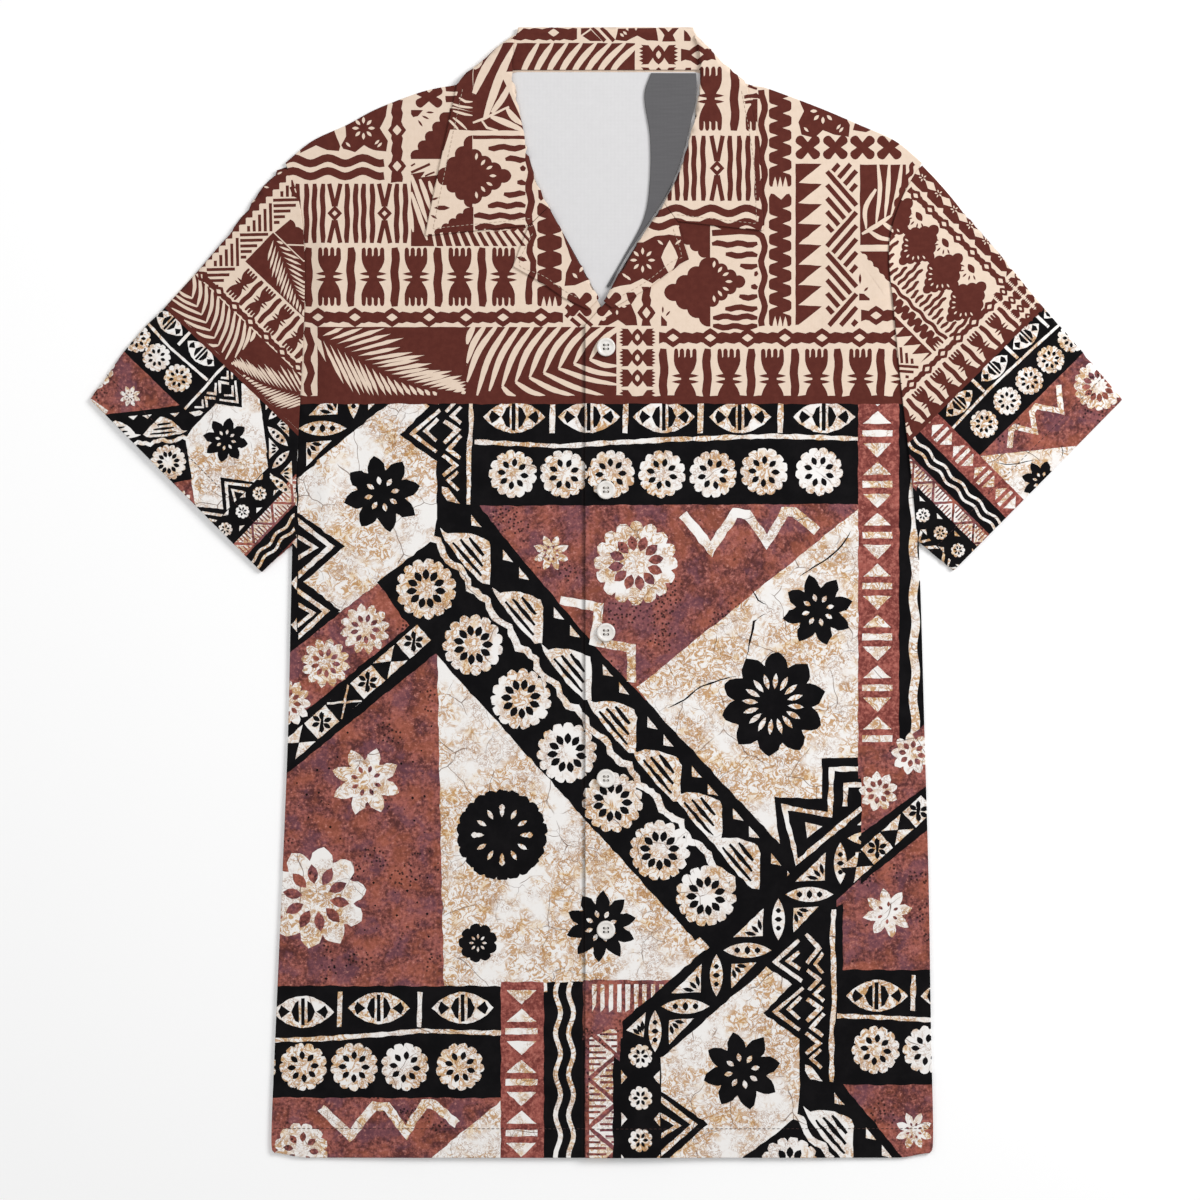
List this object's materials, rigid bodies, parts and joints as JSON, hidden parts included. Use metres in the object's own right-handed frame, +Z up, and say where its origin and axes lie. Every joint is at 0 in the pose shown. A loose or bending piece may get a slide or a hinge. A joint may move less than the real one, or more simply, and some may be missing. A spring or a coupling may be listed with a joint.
{
  "type": "hawaiian shirt",
  "caption": "Short-sleeved shirt with an open camp collar and a printed barkcloth pattern, buttoned and laid flat on its back.",
  "frame": {"origin": "on the surface that the shirt lies on, under the middle of its outline", "axes": "+X to the wearer's left, +Y from the hem to the collar, +Z up off the surface, out of the front of the shirt"},
  "size_m": [0.7244, 0.7916, 0.008],
  "materials": {
    "printed_cloth": "matt printed cotton",
    "cloth_inside": "matt cotton, printed on its outer side",
    "facing_cloth": "matt cotton, plain side",
    "button": "satin"
  },
  "bodies": {
    "root": {"back": "cloth_inside", "front_right": "printed_cloth", "front_left": "printed_cloth", "sleeve_right": "printed_cloth", "sleeve_left": "printed_cloth", "collar": "printed_cloth", "lapel_right": "printed_cloth", "lapel_left": "printed_cloth", "neck_facing": "facing_cloth", "button_1": "button", "button_2": "button", "button_3": "button", "button_4": "button", "button_5": "button"}
  },
  "joints": []
}
